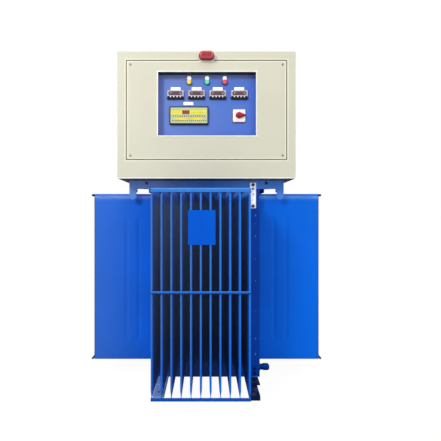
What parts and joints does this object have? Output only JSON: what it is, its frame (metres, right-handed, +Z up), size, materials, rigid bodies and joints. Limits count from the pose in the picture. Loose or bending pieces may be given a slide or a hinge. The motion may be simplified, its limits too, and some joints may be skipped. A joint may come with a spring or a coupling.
{
  "type": "oil-cooled servo voltage stabiliser",
  "caption": "Floor-standing oil-cooled voltage stabiliser: finned tank with motor-driven variable autotransformers, and a control cabinet with meters, lamps, controller and selector on top.",
  "frame": {"origin": "on the floor under the middle of the tank", "axes": "+X to the right as seen from the control panel, -Y out of the control panel, +Z up"},
  "size_m": [1.4128, 1.5218, 1.928],
  "materials": {
    "skid_paint": "gloss blue enamel",
    "tank_paint": "gloss blue enamel",
    "fin_paint": "gloss blue enamel",
    "beam_paint": "grey blue enamel",
    "plain_steel": "bare or zinc plated",
    "dark_steel": "blackened",
    "gasket_rubber": "oil resistant cork rubber",
    "cast_fitting": "cast, satin",
    "gauge_glass": "clear with oil behind",
    "cream_paint": "semi-gloss powder coat",
    "panel_paint": "satin enamel",
    "housing_plastic": "moulded, fine texture",
    "meter_plastic": "moulded, satin",
    "meter_window": "smoked window",
    "controller_plate": "printed plate",
    "tag_plastic": "engraved label plate, left plain",
    "switch_plate": "white switch plate",
    "switch_handle": "red handle",
    "yellow_lens": "translucent",
    "green_lens": "translucent",
    "red_lens": "translucent",
    "beacon_red": "translucent",
    "beacon_white": "moulded",
    "lamination": "varnished laminations",
    "copper_winding": "enamelled copper wire",
    "carbon": "graphite",
    "gear_steel": "machined",
    "motor_paint": "enamel",
    "board": "bakelite",
    "stud_brass": "machined"
  },
  "bodies": {
    "stabiliser": {"back_cover": "cream_paint", "back_fins": "fin_paint", "beacon_base": "beacon_white", "beacon_lens": "beacon_red", "cabinet_back_frame": "cream_paint", "cabinet_floor": "cream_paint", "cabinet_front_frame": "cream_paint", "cabinet_wrap": "cream_paint", "controller_face": "controller_plate", "controller_housing": "housing_plastic", "cover_bolts": "plain_steel", "cover_gasket": "gasket_rubber", "cover_screws": "plain_steel", "drain_cap": "tank_paint", "drain_pipe": "tank_paint", "earth_bolts": "plain_steel", "filler_cap": "tank_paint", "fin_plate": "fin_paint", "fin_tie_bars": "fin_paint", "foot_pads": "skid_paint", "front_cover": "cream_paint", "front_fins": "fin_paint", "gland_plate": "cream_paint", "instrument_panel": "panel_paint", "lamp_bezels": "housing_plastic", "left_fins": "fin_paint", "lens_green": "green_lens", "lens_red": "red_lens", "lens_yellow": "yellow_lens", "meter_housings": "meter_plastic", "meter_windows": "meter_window", "motor_bridge": "plain_steel", "oil_gauge_body": "cast_fitting", "oil_gauge_bolts": "dark_steel", "oil_gauge_glass": "gauge_glass", "panel_tags": "tag_plastic", "right_fins": "fin_paint", "selector_body": "housing_plastic", "selector_plate": "switch_plate", "series_coils": "copper_winding", "series_core": "lamination", "servo_motor": "motor_paint", "side_vents": "cream_paint", "skid_cross_members": "skid_paint", "skid_rails": "skid_paint", "tank_cover": "tank_paint", "tank_rim": "tank_paint", "tank_shell": "tank_paint", "terminal_board": "board", "terminal_studs": "stud_brass", "variac_cores": "lamination", "variac_frame": "plain_steel", "variac_windings": "copper_winding", "wing_beams": "beam_paint"},
    "selector": {"selector_handle": "switch_handle"},
    "brush_gear": {"brush_shaft": "gear_steel", "brush_arms": "cast_fitting", "carbon_brushes": "carbon", "driven_gear": "gear_steel"},
    "motor_pinion": {"motor_pinion": "gear_steel"}
  },
  "joints": [
    {"name": "selector_turn", "type": "hinge", "parent": "stabiliser", "child": "selector", "pos_m": [0.1875, -0.468, 1.578], "axis": [0, -1, 0], "range_deg": [0, 90]},
    {"name": "brush_turn", "type": "hinge", "parent": "stabiliser", "child": "brush_gear", "pos_m": [0, -0.17, 1.243], "axis": [0, 0, 1], "range_deg": [-160, 160]},
    {"name": "motor_turn", "type": "hinge", "parent": "stabiliser", "child": "motor_pinion", "pos_m": [0.1375, -0.17, 1.243], "axis": [0, 0, 1], "range_deg": [-580, 580]}
  ],
  "couplings": [
    {"joint": "motor_turn", "follows": "brush_turn", "ratio": -3.5833}
  ]
}
